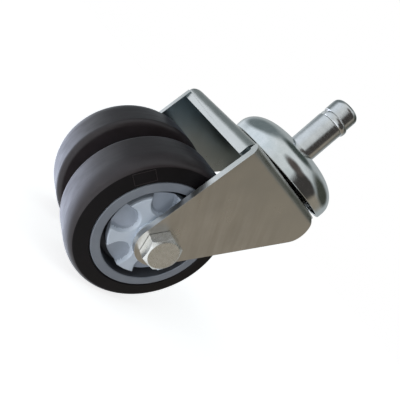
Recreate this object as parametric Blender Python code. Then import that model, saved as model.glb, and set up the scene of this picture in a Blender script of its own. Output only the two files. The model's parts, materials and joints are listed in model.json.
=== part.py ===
"""Twin-wheel swivel caster for a chair, held by an 11 mm grip-ring stem.

Metres, +Z up along the stem. The origin is on the swivel axis at the flat top of the swivel
cap, where the chair's base rests. The fork's wheels trail at -X and turn about Y. "Near"
pieces are on the -Y side, where the axle bolt's head is, and "far" pieces are on the +Y side.
"""
from math import acos, atan2, ceil, cos, hypot, pi, radians, sin, sqrt, tau

import bmesh
import bpy
from mathutils import Vector

MM = 0.001

# Layout
SEAT_TO_PLATE = 12.5 * MM
SEAT_TO_AXLE = 51.7 * MM
TRAIL = 32.5 * MM
REST_GAP = 0.3 * MM
RUNNING_GAP = 0.15 * MM

# Stem and grip ring
STEM_RADIUS = 5.5 * MM
STEM_LENGTH = 22.8 * MM
TIP_RADIUS = 3.2 * MM
TIP_CHAMFER = 2.0 * MM
TIP_ARC = radians(65)
GROOVE_LOW = 14.4 * MM
GROOVE_HIGH = 16.8 * MM
GROOVE_RADIUS = 4.6 * MM
RING_RADIUS = 6.1 * MM
RING_OPENING = radians(50)
RING_OPENING_AT = radians(150)
KINGPIN_RADIUS = 4.0 * MM
RIVET_RADIUS = 6.4 * MM
RIVET_HEIGHT = 1.8 * MM
RIVET_DOME_START = radians(-20)
RIVET_DOME_END = radians(-60)

# Swivel cap
CAP_RADIUS = 22.5 * MM
CAP_FLAT_RADIUS = 9.6 * MM
CAP_BAND_TOP = -8.9 * MM
CAP_RIM = -11.1 * MM
CAP_SHEET = 1.2 * MM

# Bearings in the swivel head
UPPER_BALLS = 16
UPPER_BALL_RADIUS = 2.0 * MM
UPPER_TRACK_RADIUS = 14.0 * MM
LOWER_BALLS = 12
LOWER_BALL_RADIUS = 1.6 * MM
LOWER_TRACK_RADIUS = 8.6 * MM
LOWER_WALL_GAP = 0.9 * MM
TRACK_DEPTH = 0.45 * MM
TRACK_HALF_WIDTH = 1.3 * MM
RACE_SHEET = 1.6 * MM
PIN_HOLE_RADIUS = KINGPIN_RADIUS + REST_GAP
RIVET_WASHER_RADIUS = 8.0 * MM
RIVET_WASHER_THICKNESS = 1.0 * MM

# Fork, pressed from one sheet
FORK_WIDTH = 50.0 * MM
FORK_SHEET = 2.0 * MM
FORK_BEND = 3.0 * MM
FORK_FRONT = -35.1 * MM
FORK_PIN_HOLE = 5.0 * MM
PLATE_REAR_RADIUS = 21.7 * MM
LEG_END_RADIUS = 7.3 * MM
LEG_REAR_RADIUS = 7.2 * MM
LEG_REAR_X = -0.8 * MM
LIP_HEIGHT = 5.4 * MM
LIP_NEAR_END = -20.7 * MM
LIP_JOIN = radians(54)
LIP_NOTCH_WIDTH = 1.6 * MM
LIP_NOTCH_DEPTH = 3.3 * MM
LIP_CORNER = 0.5 * MM

# Axle bolt, nut and sleeve
BOLT_RADIUS = 3.0 * MM
BOLT_END = 34.0 * MM
HEX_ACROSS_FLATS = 10.0 * MM
HEX_TURN = radians(49)
HEAD_HEIGHT = 4.0 * MM
HEAD_CHAMFER = 0.5 * MM
HEAD_FACE_RADIUS = 4.75 * MM
BOLT_POINT = 0.75 * MM
NUT_HEX_HEIGHT = 4.5 * MM
NUT_COLLAR_RADIUS = 4.6 * MM
NUT_COLLAR_HEIGHT = 2.0 * MM
NUT_COLLAR_WALL = 0.5 * MM
NUT_WASHER_RADIUS = 6.2 * MM
NUT_WASHER_THICKNESS = 1.0 * MM
SLEEVE_RADIUS = 4.0 * MM
SPACER_RADIUS = 6.5 * MM
SPACER_HALF_LENGTH = 2.7 * MM
SIDE_WASHER_RADIUS = 6.8 * MM
SIDE_WASHER_THICKNESS = 0.5 * MM

# Wheels; "out" is the distance from the caster's middle plane along the axle
WHEEL_RADIUS = 25.0 * MM
TREAD_IN = 4.8 * MM
TREAD_IN_ROUND = 1.9 * MM
TREAD_OUT = 15.0 * MM
SIDEWALL_RADIUS = 22.8 * MM
SIDEWALL_OUT = 20.7 * MM
RIM_RADIUS = 18.5 * MM
RIM_OUT = 21.2 * MM
RIM_BORE = 15.75 * MM
RIM_EDGE = 0.3 * MM
GROOVE_FLOOR = 15.0 * MM
DISC_RADIUS = 13.9 * MM
DISC_OUT = 20.9 * MM
WEB_IN = 12.0 * MM
HUB_RADIUS = 7.5 * MM
HUB_IN = 3.0 * MM
BOSS_RADIUS = 6.4 * MM
BOSS_OUT = 21.9 * MM
BUSH_RADIUS = 5.45 * MM
POCKETS = 6
POCKET_TURN = radians(4.8)
POCKET_FLOOR = 18.2 * MM
POCKET_ROUND = 3.7 * MM
POCKET_ROUND_AT = 11.4 * MM
POCKET_MOUTH_AT = 14.7 * MM
POCKET_MOUTH = 3.8 * MM

# Colours, roughness and metallic value of each finish
ZINC = ((0.62, 0.62, 0.60), 0.32, 1.0)
BRIGHT_STEEL = ((0.70, 0.70, 0.69), 0.22, 1.0)
BEARING_STEEL = ((0.55, 0.55, 0.56), 0.15, 1.0)
RUBBER = ((0.035, 0.031, 0.033), 0.60, 0.0)
CORE_PLASTIC = ((0.30, 0.33, 0.37), 0.42, 0.0)
WHITE_NYLON = ((0.72, 0.71, 0.66), 0.45, 0.0)
BLUE_NYLON = ((0.10, 0.22, 0.50), 0.45, 0.0)

ROUND_SEGMENTS = 40
RACE_SEGMENTS = 30
SMALL_SEGMENTS = 20
LEG_IN = FORK_WIDTH / 2 - FORK_SHEET
PLATE_TOP = -SEAT_TO_PLATE
PLATE_UNDERSIDE = PLATE_TOP - FORK_SHEET
AXLE = Vector((-TRAIL, 0, -SEAT_TO_AXLE))
TOWARDS_NEAR = (pi / 2, 0, 0)
TOWARDS_FAR = (-pi / 2, 0, 0)
ALONG_X = (pi / 2, 0, pi / 2)


def clear_scene():
    for obj in list(bpy.data.objects):
        bpy.data.objects.remove(obj, do_unlink=True)


def make_material(name, finish):
    colour, roughness, metallic = finish
    material = bpy.data.materials.new(name)
    material.use_nodes = True
    shader = material.node_tree.nodes["Principled BSDF"]
    shader.inputs["Base Color"].default_value = (*colour, 1.0)
    shader.inputs["Roughness"].default_value = roughness
    shader.inputs["Metallic"].default_value = metallic
    return material


def make_empty(name, location):
    empty = bpy.data.objects.new(name, None)
    empty.location = location
    bpy.context.collection.objects.link(empty)
    return empty


def place(name, mesh, finish, parent=None, location=(0, 0, 0), rotation=(0, 0, 0)):
    """Add a mesh as a named object with its own material; location is relative to the parent."""
    obj = bpy.data.objects.new(name, mesh)
    obj.data.materials.append(make_material(name, finish))
    obj.location = location
    obj.rotation_euler = rotation
    obj.parent = parent
    bpy.context.collection.objects.link(obj)
    return obj


def place_tool(name, mesh, location=(0, 0, 0), rotation=(0, 0, 0)):
    """Add a mesh that only cuts or extends another object, and isn't a piece itself."""
    tool = bpy.data.objects.new(name, mesh)
    tool.location = location
    tool.rotation_euler = rotation
    tool.hide_render = True
    tool.display_type = "WIRE"
    bpy.context.collection.objects.link(tool)
    return tool


def combine(obj, tool, operation):
    modifier = obj.modifiers.new(tool.name, "BOOLEAN")
    modifier.operation = operation
    modifier.object = tool


def to_mesh(bm, name):
    bmesh.ops.recalc_face_normals(bm, faces=bm.faces)
    mesh = bpy.data.meshes.new(name)
    bm.to_mesh(mesh)
    bm.free()
    mesh.shade_smooth()
    mesh.set_sharp_from_angle(angle=radians(35))
    return mesh


def arc(centre, radius, start, end, steps):
    """Points on an arc; radius may be a pair of half axes, which gives an elliptical arc."""
    across, along = radius if isinstance(radius, tuple) else (radius, radius)
    angles = [start + (end - start) * k / steps for k in range(steps + 1)]
    return [(centre[0] + across * cos(a), centre[1] + along * sin(a)) for a in angles]


def belt_outline(circles, step=radians(15)):
    """Outline of a belt drawn anticlockwise round (x, y, radius) circles; radius 0 is a corner."""
    departures = []
    for (x0, y0, r0), (x1, y1, r1) in zip(circles, circles[1:] + circles[:1]):
        heading = atan2(y1 - y0, x1 - x0)
        departures.append(heading - acos((r0 - r1) / hypot(x1 - x0, y1 - y0)))
    outline = []
    for i, (x, y, radius) in enumerate(circles):
        if radius == 0:
            outline.append((x, y))
            continue
        start = departures[i - 1]
        sweep = (departures[i] - start) % tau
        outline += arc((x, y), radius, start, start + sweep, ceil(sweep / step))
    return outline


def turned(name, profile, segments=ROUND_SEGMENTS, start=0.0, sweep=tau):
    """Turn a closed (radius, height) profile about Z, all the way round or through a sweep."""
    bm = bmesh.new()
    whole = sweep == tau
    stations = segments if whole else segments + 1
    angles = [start + sweep * k / segments for k in range(stations)]
    rings = []
    for radius, height in profile:
        if radius == 0:
            rings.append([bm.verts.new((0, 0, height))] * stations)
        else:
            rings.append([bm.verts.new((radius * cos(a), radius * sin(a), height)) for a in angles])
    for ring, following in zip(rings, rings[1:] + rings[:1]):
        for i in range(segments):
            j = (i + 1) % stations
            corners = list(dict.fromkeys([ring[i], ring[j], following[j], following[i]]))
            if len(corners) > 2:
                bm.faces.new(corners)
    if not whole:
        bm.faces.new([ring[0] for ring in rings])
        bm.faces.new([ring[-1] for ring in rings])
    return to_mesh(bm, name)


def add_prism(bm, outline, low, high):
    bottom = [bm.verts.new((x, y, low)) for x, y in outline]
    top = [bm.verts.new((x, y, high)) for x, y in outline]
    bm.faces.new(bottom)
    bm.faces.new(top)
    for i, corner in enumerate(bottom):
        j = (i + 1) % len(bottom)
        bm.faces.new((corner, bottom[j], top[j], top[i]))


def prism(name, outline, low, high):
    """Extrude an (x, y) outline from one height to another."""
    bm = bmesh.new()
    add_prism(bm, outline, low, high)
    return to_mesh(bm, name)


def ring(name, inner, outer, low, high, segments=SMALL_SEGMENTS):
    profile = [(inner, low), (outer, low), (outer, high), (inner, high)]
    return turned(name, profile, segments)


def cylinder(name, radius, low, high, segments=SMALL_SEGMENTS):
    profile = [(0, low), (radius, low), (radius, high), (0, high)]
    return turned(name, profile, segments)


def hexagon(across_flats, turn):
    corner_radius = across_flats / sqrt(3)
    angles = [turn + k * pi / 3 for k in range(6)]
    return [(corner_radius * cos(a), corner_radius * sin(a)) for a in angles]


def make_stem(root):
    """Stem above the seat, kingpin shank below it, and the formed rivet head at the bottom."""
    rivet_top = kingpin_end()
    tip_at = (STEM_RADIUS - TIP_CHAMFER, STEM_LENGTH - TIP_CHAMFER)
    rivet_at = (0, rivet_top)
    rivet_axes = (RIVET_RADIUS, RIVET_HEIGHT)
    profile = [
        (0, STEM_LENGTH),
        (TIP_RADIUS, STEM_LENGTH),
        *arc(tip_at, TIP_CHAMFER, TIP_ARC, 0, 3),
        (STEM_RADIUS, GROOVE_HIGH),
        (GROOVE_RADIUS, GROOVE_HIGH),
        (GROOVE_RADIUS, GROOVE_LOW),
        (STEM_RADIUS, GROOVE_LOW),
        (STEM_RADIUS, 0),
        (KINGPIN_RADIUS, 0),
        (KINGPIN_RADIUS, rivet_top),
        (RIVET_RADIUS, rivet_top),
        *arc(rivet_at, rivet_axes, RIVET_DOME_START, RIVET_DOME_END, 2),
        (0, rivet_top - RIVET_HEIGHT),
    ]
    return place("stem", turned("stem", profile, SMALL_SEGMENTS), BRIGHT_STEEL, root)


def make_grip_ring(root):
    """Split spring ring in the stem's groove, with a barrel-shaped outer face."""
    low = GROOVE_LOW + REST_GAP
    high = GROOVE_HIGH - REST_GAP
    inner = GROOVE_RADIUS + REST_GAP
    middle = (low + high) / 2
    bulge = RING_RADIUS - STEM_RADIUS
    profile = [
        (inner, low),
        *arc((STEM_RADIUS, middle), (bulge, (high - low) / 2), radians(-90), radians(90), 4),
        (inner, high),
    ]
    start = RING_OPENING_AT + RING_OPENING / 2
    mesh = turned("grip_ring", profile, SMALL_SEGMENTS, start, tau - RING_OPENING)
    return place("grip_ring", mesh, BEARING_STEEL, root)


def make_swivel_cap(root):
    """Pressed dome: a straight band, an elliptical shoulder and a flat top round the stem.

    The stem's shoulder sits in a shallow recess in the middle of the flat top.
    """
    outside = (CAP_RADIUS - CAP_FLAT_RADIUS, -CAP_BAND_TOP)
    inside = (outside[0] - CAP_SHEET, outside[1] - CAP_SHEET)
    centre = (CAP_FLAT_RADIUS, CAP_BAND_TOP)
    recess_radius = STEM_RADIUS + REST_GAP
    profile = [
        (CAP_RADIUS, CAP_RIM),
        *arc(centre, outside, 0, pi / 2, 5),
        (recess_radius, 0),
        (recess_radius, -REST_GAP),
        (PIN_HOLE_RADIUS, -REST_GAP),
        (PIN_HOLE_RADIUS, -CAP_SHEET),
        *arc(centre, inside, pi / 2, 0, 4),
        (CAP_RADIUS - CAP_SHEET, CAP_RIM),
    ]
    return place("swivel_cap", turned("swivel_cap", profile), ZINC, root)


def upper_ball_height():
    return PLATE_TOP - TRACK_DEPTH + REST_GAP + UPPER_BALL_RADIUS


def lower_ball_height():
    return PLATE_UNDERSIDE + TRACK_DEPTH - REST_GAP - LOWER_BALL_RADIUS


def make_upper_race(root):
    """Pressed cup under the cap: flat round the pin, a cone down to the track, a guard wall."""
    top = -CAP_SHEET - REST_GAP
    track = upper_ball_height() + UPPER_BALL_RADIUS + REST_GAP
    shelf = track - TRACK_DEPTH / 2
    back = track + RACE_SHEET
    guard_bottom = track - UPPER_BALL_RADIUS / 2
    wall_in = UPPER_TRACK_RADIUS + UPPER_BALL_RADIUS + 2 * REST_GAP
    wall_out = wall_in + CAP_SHEET
    flat_end = CAP_FLAT_RADIUS - RACE_SHEET / 2
    cone_foot = UPPER_TRACK_RADIUS - TRACK_HALF_WIDTH
    profile = [
        (PIN_HOLE_RADIUS, top),
        (flat_end, top),
        (cone_foot, back),
        (wall_in, back),
        (wall_out, track),
        (wall_out, guard_bottom),
        (wall_in, guard_bottom),
        (wall_in, shelf),
        (UPPER_TRACK_RADIUS, track),
        (cone_foot - RACE_SHEET, shelf),
        (flat_end - RACE_SHEET / 2, top - RACE_SHEET),
        (PIN_HOLE_RADIUS, top - RACE_SHEET),
    ]
    return place("upper_race", turned("upper_race", profile, RACE_SEGMENTS), BEARING_STEEL, root)


def lower_race_underside():
    return lower_ball_height() - LOWER_BALL_RADIUS - REST_GAP - RACE_SHEET


def make_lower_race(root):
    """Cup under the fork's plate that carries the lower balls."""
    underside = lower_race_underside()
    track = underside + RACE_SHEET
    shelf = track + TRACK_DEPTH / 2
    wall_in = LOWER_TRACK_RADIUS + LOWER_BALL_RADIUS + LOWER_WALL_GAP
    wall_out = wall_in + CAP_SHEET
    wall_top = shelf + LOWER_BALL_RADIUS
    profile = [
        (PIN_HOLE_RADIUS, underside),
        (wall_out, underside),
        (wall_out, wall_top),
        (wall_in, wall_top),
        (wall_in, shelf),
        (LOWER_TRACK_RADIUS + TRACK_HALF_WIDTH, shelf),
        (LOWER_TRACK_RADIUS, track),
        (LOWER_TRACK_RADIUS - TRACK_HALF_WIDTH, shelf),
        (PIN_HOLE_RADIUS, shelf),
    ]
    return place("lower_race", turned("lower_race", profile, RACE_SEGMENTS), BEARING_STEEL, root)


def kingpin_end():
    """Height of the rivet head's bearing face."""
    return lower_race_underside() - RIVET_WASHER_THICKNESS - 2 * REST_GAP


def make_rivet_washer(root):
    top = lower_race_underside() - REST_GAP
    low = top - RIVET_WASHER_THICKNESS
    mesh = ring("rivet_washer", PIN_HOLE_RADIUS, RIVET_WASHER_RADIUS, low, top)
    return place("rivet_washer", mesh, ZINC, root)


def make_ball(radius):
    bm = bmesh.new()
    bmesh.ops.create_uvsphere(bm, u_segments=10, v_segments=6, radius=radius)
    return to_mesh(bm, "ball")


def make_balls(prefix, count, ball_radius, track_radius, height):
    """One object for each ball, on an empty that turns about the swivel axis."""
    circle = make_empty(prefix + "_circle", (0, 0, height))
    mesh = make_ball(ball_radius)
    mesh.materials.append(make_material(prefix, BEARING_STEEL))
    for k in range(count):
        angle = tau * k / count
        ball = bpy.data.objects.new(f"{prefix}_{k + 1:02d}", mesh)
        ball.location = (track_radius * cos(angle), track_radius * sin(angle), 0)
        ball.parent = circle
        bpy.context.collection.objects.link(ball)


def fork_section():
    """The bent sheet across the fork, as (y, z) points: two legs joined by the top plate."""
    outer = FORK_WIDTH / 2
    bend_y = outer - FORK_BEND
    bend_z = PLATE_TOP - FORK_BEND
    inner_bend = FORK_BEND - FORK_SHEET
    leg_foot = AXLE.z - 2 * LEG_END_RADIUS
    return [
        (-outer, leg_foot),
        *arc((-bend_y, bend_z), FORK_BEND, pi, pi / 2, 5),
        *arc((bend_y, bend_z), FORK_BEND, pi / 2, 0, 5),
        (outer, leg_foot),
        (LEG_IN, leg_foot),
        *arc((bend_y, bend_z), inner_bend, 0, pi / 2, 3),
        *arc((-bend_y, bend_z), inner_bend, pi / 2, pi, 3),
        (-LEG_IN, leg_foot),
    ]


def fork_side_outline():
    """Outline of a leg as (x, z) points: rounded rear corner, front corner, round axle end."""
    clear_of_plate = REST_GAP
    return belt_outline(
        [
            (LEG_REAR_X, PLATE_TOP - LEG_REAR_RADIUS + clear_of_plate, LEG_REAR_RADIUS),
            (FORK_FRONT, PLATE_TOP + clear_of_plate, 0),
            (AXLE.x, AXLE.z, LEG_END_RADIUS),
        ],
        radians(12),
    )


def lip_section():
    """The plate's front edge turned down into a stiffening lip, as (x, z) points."""
    bend_x = FORK_FRONT + FORK_BEND
    bend_z = PLATE_TOP - FORK_BEND
    inner_bend = FORK_BEND - FORK_SHEET
    back = FORK_FRONT + LIP_NOTCH_DEPTH + FORK_SHEET
    foot = PLATE_TOP - LIP_HEIGHT
    return [
        (back, PLATE_TOP),
        *arc((bend_x, bend_z), FORK_BEND, pi / 2, pi, 5),
        (FORK_FRONT, foot),
        (FORK_FRONT + FORK_SHEET, foot),
        *arc((bend_x, bend_z), inner_bend, pi, pi / 2, 3),
        (back, PLATE_UNDERSIDE),
    ]


def lip_outline():
    """Front view of the lip as (y, z) points: free at its near end, joined to the far leg."""
    foot = PLATE_TOP - LIP_HEIGHT
    corner_at = (LIP_NEAR_END + LIP_CORNER, foot + LIP_CORNER)
    bend_at = (FORK_WIDTH / 2 - FORK_BEND, PLATE_TOP - FORK_BEND)
    return [
        (LIP_NEAR_END, PLATE_TOP),
        *arc(corner_at, LIP_CORNER, pi, 3 * pi / 2, 3),
        (bend_at[0] + FORK_BEND * cos(LIP_JOIN), foot),
        *arc(bend_at, FORK_BEND, LIP_JOIN, pi / 2, 2),
    ]


def make_lip_tool():
    """The lip as a solid: its section drawn out across the fork, cut to its front outline."""
    section = prism("lip_tool", lip_section(), -FORK_WIDTH, FORK_WIDTH)
    lip = place_tool("lip_tool", section, rotation=TOWARDS_NEAR)
    front = prism("lip_front", lip_outline(), FORK_FRONT - MM, 0)
    combine(lip, place_tool("lip_front", front, rotation=ALONG_X), "INTERSECT")
    return lip


def track_tool(name, track_radius, surface, direction):
    """Cutter for a shallow ball track; direction is +1 for a track in an upward face."""
    deep = surface - direction * TRACK_DEPTH
    proud = surface + direction * TRACK_DEPTH
    profile = [
        (track_radius - 2 * TRACK_HALF_WIDTH, proud),
        (track_radius, deep),
        (track_radius + 2 * TRACK_HALF_WIDTH, proud),
    ]
    return place_tool(name, turned(name, profile, RACE_SEGMENTS))


def make_fork(pivot):
    """Fork pressed from sheet: plate, two legs, rounded rear, and a front lip notched at one end."""
    rear = PLATE_REAR_RADIUS
    front = AXLE.x - 2 * LEG_END_RADIUS
    mesh = prism("fork", fork_section(), front, rear + FORK_SHEET)
    fork = place("fork", mesh, ZINC, pivot, rotation=ALONG_X)

    half_span = FORK_WIDTH
    outline = prism("side_outline", fork_side_outline(), -half_span, half_span)
    blank = place_tool("blank_outline", outline, rotation=TOWARDS_NEAR)
    plate_low = PLATE_UNDERSIDE - REST_GAP
    plate_high = PLATE_TOP + 2 * REST_GAP
    round_rear = cylinder("plate_rear", rear, plate_low, plate_high, ROUND_SEGMENTS)
    combine(blank, place_tool("plate_rear", round_rear), "UNION")
    combine(fork, blank, "INTERSECT")

    notch_near = LIP_NEAR_END - LIP_NOTCH_WIDTH
    notch_far = FORK_WIDTH / 2 - FORK_BEND
    notch_back = FORK_FRONT + LIP_NOTCH_DEPTH
    notch_outline = [
        (front, notch_near),
        (notch_back, notch_near),
        (notch_back, notch_far),
        (front, notch_far),
    ]
    notch = prism("front_notch", notch_outline, PLATE_UNDERSIDE - FORK_BEND, PLATE_TOP + FORK_SHEET)
    combine(fork, place_tool("front_notch", notch), "DIFFERENCE")
    combine(fork, make_lip_tool(), "UNION")

    pin_hole = cylinder("pin_hole", FORK_PIN_HOLE, PLATE_UNDERSIDE - MM, PLATE_TOP + MM)
    combine(fork, place_tool("pin_hole", pin_hole), "DIFFERENCE")
    axle_hole = cylinder("axle_hole", BOLT_RADIUS + REST_GAP, -half_span, half_span)
    combine(fork, place_tool("axle_hole", axle_hole, AXLE, TOWARDS_NEAR), "DIFFERENCE")
    upper_track = track_tool("upper_track", UPPER_TRACK_RADIUS, PLATE_TOP, 1)
    combine(fork, upper_track, "DIFFERENCE")
    lower_track = track_tool("lower_track", LOWER_TRACK_RADIUS, PLATE_UNDERSIDE, -1)
    combine(fork, lower_track, "DIFFERENCE")
    return fork


def chamfer_tool(name, low, high, location, rotation):
    """Round blank whose intersection with a hexagon chamfers the hexagon's outer corners."""
    corner_radius = HEX_ACROSS_FLATS / sqrt(3)
    profile = [
        (0, low - MM),
        (corner_radius + MM, low - MM),
        (corner_radius + MM, high - HEAD_CHAMFER - MM / sqrt(3)),
        (HEAD_FACE_RADIUS, high),
        (0, high),
    ]
    return place_tool(name, turned(name, profile, SMALL_SEGMENTS), location, rotation)


def make_axle_bolt(pivot):
    """Hexagon-head bolt: the head is outside the near leg and the shank goes through both legs."""
    seat = FORK_WIDTH / 2 + REST_GAP / 2
    head = prism("axle_bolt", hexagon(HEX_ACROSS_FLATS, HEX_TURN), seat, seat + HEAD_HEIGHT)
    bolt = place("axle_bolt", head, ZINC, pivot, AXLE, TOWARDS_NEAR)
    chamfer = chamfer_tool("head_chamfer", seat, seat + HEAD_HEIGHT, AXLE, TOWARDS_NEAR)
    combine(bolt, chamfer, "INTERSECT")
    shank_profile = [
        (0, -BOLT_END),
        (BOLT_RADIUS - BOLT_POINT, -BOLT_END),
        (BOLT_RADIUS, -BOLT_END + BOLT_POINT),
        (BOLT_RADIUS, seat + REST_GAP),
        (0, seat + REST_GAP),
    ]
    shank = turned("shank", shank_profile, SMALL_SEGMENTS)
    combine(bolt, place_tool("shank", shank, AXLE, TOWARDS_NEAR), "UNION")
    return bolt


def nut_seat():
    return FORK_WIDTH / 2 + NUT_WASHER_THICKNESS + 2 * REST_GAP


def make_nut_washer(pivot):
    low = FORK_WIDTH / 2 + REST_GAP
    high = low + NUT_WASHER_THICKNESS
    mesh = ring("nut_washer", BOLT_RADIUS + REST_GAP, NUT_WASHER_RADIUS, low, high)
    return place("nut_washer", mesh, ZINC, pivot, AXLE, TOWARDS_FAR)


def make_axle_nut(pivot):
    """Lock nut outside the far leg: a hexagon with a thin collar that holds the nylon insert."""
    seat = nut_seat()
    hex_top = seat + NUT_HEX_HEIGHT
    collar_top = hex_top + NUT_COLLAR_HEIGHT
    body = prism("axle_nut", hexagon(HEX_ACROSS_FLATS, HEX_TURN), seat, hex_top)
    nut = place("axle_nut", body, ZINC, pivot, AXLE, TOWARDS_FAR)
    chamfer = chamfer_tool("nut_chamfer", seat, hex_top, AXLE, TOWARDS_FAR)
    combine(nut, chamfer, "INTERSECT")
    collar = cylinder("nut_collar", NUT_COLLAR_RADIUS, hex_top - REST_GAP, collar_top)
    combine(nut, place_tool("nut_collar", collar, AXLE, TOWARDS_FAR), "UNION")
    bore_radius = BOLT_RADIUS + REST_GAP
    recess_radius = NUT_COLLAR_RADIUS - NUT_COLLAR_WALL
    bore_profile = [
        (0, seat - MM),
        (bore_radius, seat - MM),
        (bore_radius, hex_top),
        (recess_radius, hex_top),
        (recess_radius, collar_top + MM),
        (0, collar_top + MM),
    ]
    bore = turned("nut_bore", bore_profile, SMALL_SEGMENTS)
    combine(nut, place_tool("nut_bore", bore, AXLE, TOWARDS_FAR), "DIFFERENCE")
    return nut


def make_nut_insert(pivot):
    low = nut_seat() + NUT_HEX_HEIGHT + REST_GAP
    high = low + NUT_COLLAR_HEIGHT - 2 * REST_GAP
    outer = NUT_COLLAR_RADIUS - NUT_COLLAR_WALL - REST_GAP
    mesh = ring("nut_insert", BOLT_RADIUS + REST_GAP / 2, outer, low, high)
    return place("nut_insert", mesh, BLUE_NYLON, pivot, AXLE, TOWARDS_FAR)


def make_axle_sleeve(pivot):
    """Steel tube clamped between the legs; both wheels turn on it."""
    half_length = LEG_IN - REST_GAP
    mesh = ring("axle_sleeve", BOLT_RADIUS + REST_GAP, SLEEVE_RADIUS, -half_length, half_length)
    return place("axle_sleeve", mesh, BEARING_STEEL, pivot, AXLE, TOWARDS_NEAR)


def make_wheel_spacer(pivot):
    """Ring on the sleeve that keeps the two hubs apart."""
    length = SPACER_HALF_LENGTH
    mesh = ring("wheel_spacer", SLEEVE_RADIUS + REST_GAP, SPACER_RADIUS, -length, length)
    return place("wheel_spacer", mesh, WHITE_NYLON, pivot, AXLE, TOWARDS_NEAR)


def make_side_washer(name, pivot, rotation):
    """Thin washer between a hub and its leg."""
    high = LEG_IN - REST_GAP
    low = high - SIDE_WASHER_THICKNESS
    mesh = ring(name, SLEEVE_RADIUS + REST_GAP, SIDE_WASHER_RADIUS, low, high)
    return place(name, mesh, WHITE_NYLON, pivot, AXLE, rotation)


def make_tyre(name, wheel, rotation):
    """Soft tread: rounded inner edge, flat crown, long elliptical shoulder and plain sidewall."""
    bore = RIM_RADIUS + REST_GAP
    shoulder = (WHEEL_RADIUS - SIDEWALL_RADIUS, SIDEWALL_OUT - TREAD_OUT)
    round_at = (WHEEL_RADIUS - TREAD_IN_ROUND, TREAD_IN + TREAD_IN_ROUND)
    profile = [
        (bore, TREAD_IN),
        *arc(round_at, TREAD_IN_ROUND, -pi / 2, 0, 3),
        *arc((SIDEWALL_RADIUS, TREAD_OUT), shoulder, 0, pi / 2, 5),
        (bore, RIM_OUT),
    ]
    return place(name, turned(name, profile), RUBBER, wheel, rotation=rotation)


def pocket_tool(name, rotation):
    """Cutter for the scooped pockets round the hub disc, each open at the disc's edge."""
    outline = belt_outline(
        [
            (POCKET_MOUTH_AT, -POCKET_MOUTH, 0),
            (POCKET_MOUTH_AT, POCKET_MOUTH, 0),
            (POCKET_ROUND_AT, 0, POCKET_ROUND),
        ],
        radians(30),
    )
    bm = bmesh.new()
    for k in range(POCKETS):
        turn = POCKET_TURN + tau * k / POCKETS
        turned_outline = [
            (x * cos(turn) - y * sin(turn), x * sin(turn) + y * cos(turn)) for x, y in outline
        ]
        add_prism(bm, turned_outline, POCKET_FLOOR, RIM_OUT + MM)
    return place_tool(name, to_mesh(bm, name), AXLE, rotation)


def make_wheel_core(name, wheel, rotation):
    """Moulded core: rim ring, deep groove, hub disc with pockets, and the hub round the bush."""
    bore = BUSH_RADIUS + REST_GAP
    rim_in = TREAD_IN + REST_GAP
    web_rim = RIM_BORE + RIM_EDGE
    profile = [
        (RIM_RADIUS, rim_in),
        (RIM_RADIUS, RIM_OUT - RIM_EDGE),
        (RIM_RADIUS - RIM_EDGE, RIM_OUT),
        (RIM_BORE + RIM_EDGE, RIM_OUT),
        (RIM_BORE, RIM_OUT - RIM_EDGE),
        (RIM_BORE, GROOVE_FLOOR),
        (DISC_RADIUS, GROOVE_FLOOR),
        (DISC_RADIUS, DISC_OUT - RIM_EDGE),
        (DISC_RADIUS - RIM_EDGE, DISC_OUT),
        (BOSS_RADIUS, DISC_OUT),
        (BOSS_RADIUS, BOSS_OUT),
        (bore, BOSS_OUT),
        (bore, HUB_IN),
        (HUB_RADIUS, HUB_IN),
        (HUB_RADIUS, WEB_IN),
        (web_rim, WEB_IN),
        (web_rim, rim_in),
    ]
    core = place(name, turned(name, profile), CORE_PLASTIC, wheel, rotation=rotation)
    combine(core, pocket_tool(name + "_pockets", rotation), "DIFFERENCE")
    return core


def make_bush(name, wheel, rotation):
    """Plain bearing pressed into the hub, with running clearance on the sleeve."""
    bore = SLEEVE_RADIUS + RUNNING_GAP
    mesh = ring(name, bore, BUSH_RADIUS, HUB_IN, BOSS_OUT)
    return place(name, mesh, WHITE_NYLON, wheel, rotation=rotation)


def make_wheel(side, rotation):
    wheel = make_empty(side + "_wheel_axis", AXLE)
    make_tyre(side + "_tyre", wheel, rotation)
    make_wheel_core(side + "_wheel_core", wheel, rotation)
    make_bush(side + "_wheel_bush", wheel, rotation)


def make_stem_group():
    root = make_empty("stem_axis", (0, 0, 0))
    make_stem(root)
    make_grip_ring(root)
    make_swivel_cap(root)
    make_upper_race(root)
    make_lower_race(root)
    make_rivet_washer(root)


def make_fork_group():
    pivot = make_empty("swivel_axis", (0, 0, 0))
    make_fork(pivot)
    make_axle_bolt(pivot)
    make_nut_washer(pivot)
    make_axle_nut(pivot)
    make_nut_insert(pivot)
    make_axle_sleeve(pivot)
    make_wheel_spacer(pivot)
    make_side_washer("near_side_washer", pivot, TOWARDS_NEAR)
    make_side_washer("far_side_washer", pivot, TOWARDS_FAR)


clear_scene()
make_stem_group()
make_balls("upper_ball", UPPER_BALLS, UPPER_BALL_RADIUS, UPPER_TRACK_RADIUS, upper_ball_height())
make_balls("lower_ball", LOWER_BALLS, LOWER_BALL_RADIUS, LOWER_TRACK_RADIUS, lower_ball_height())
make_fork_group()
make_wheel("near", TOWARDS_NEAR)
make_wheel("far", TOWARDS_FAR)
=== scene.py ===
"""Looks of a twin-wheel chair caster: detailed meshes, materials, studio light and camera.

Metres, in the frame's own axes: +Z up along the stem, the origin on the swivel axis at the
cap's flat top, the fork trailing at -X and the wheels turning about Y. Each piece stands for
the CAD node it is named after and rides on that node's body.
"""
import json
from math import acos, atan2, ceil, copysign, cos, hypot, pi, radians, sin, sqrt, tan, tau

import bmesh
import bpy
from mathutils import Matrix, Vector


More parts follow.
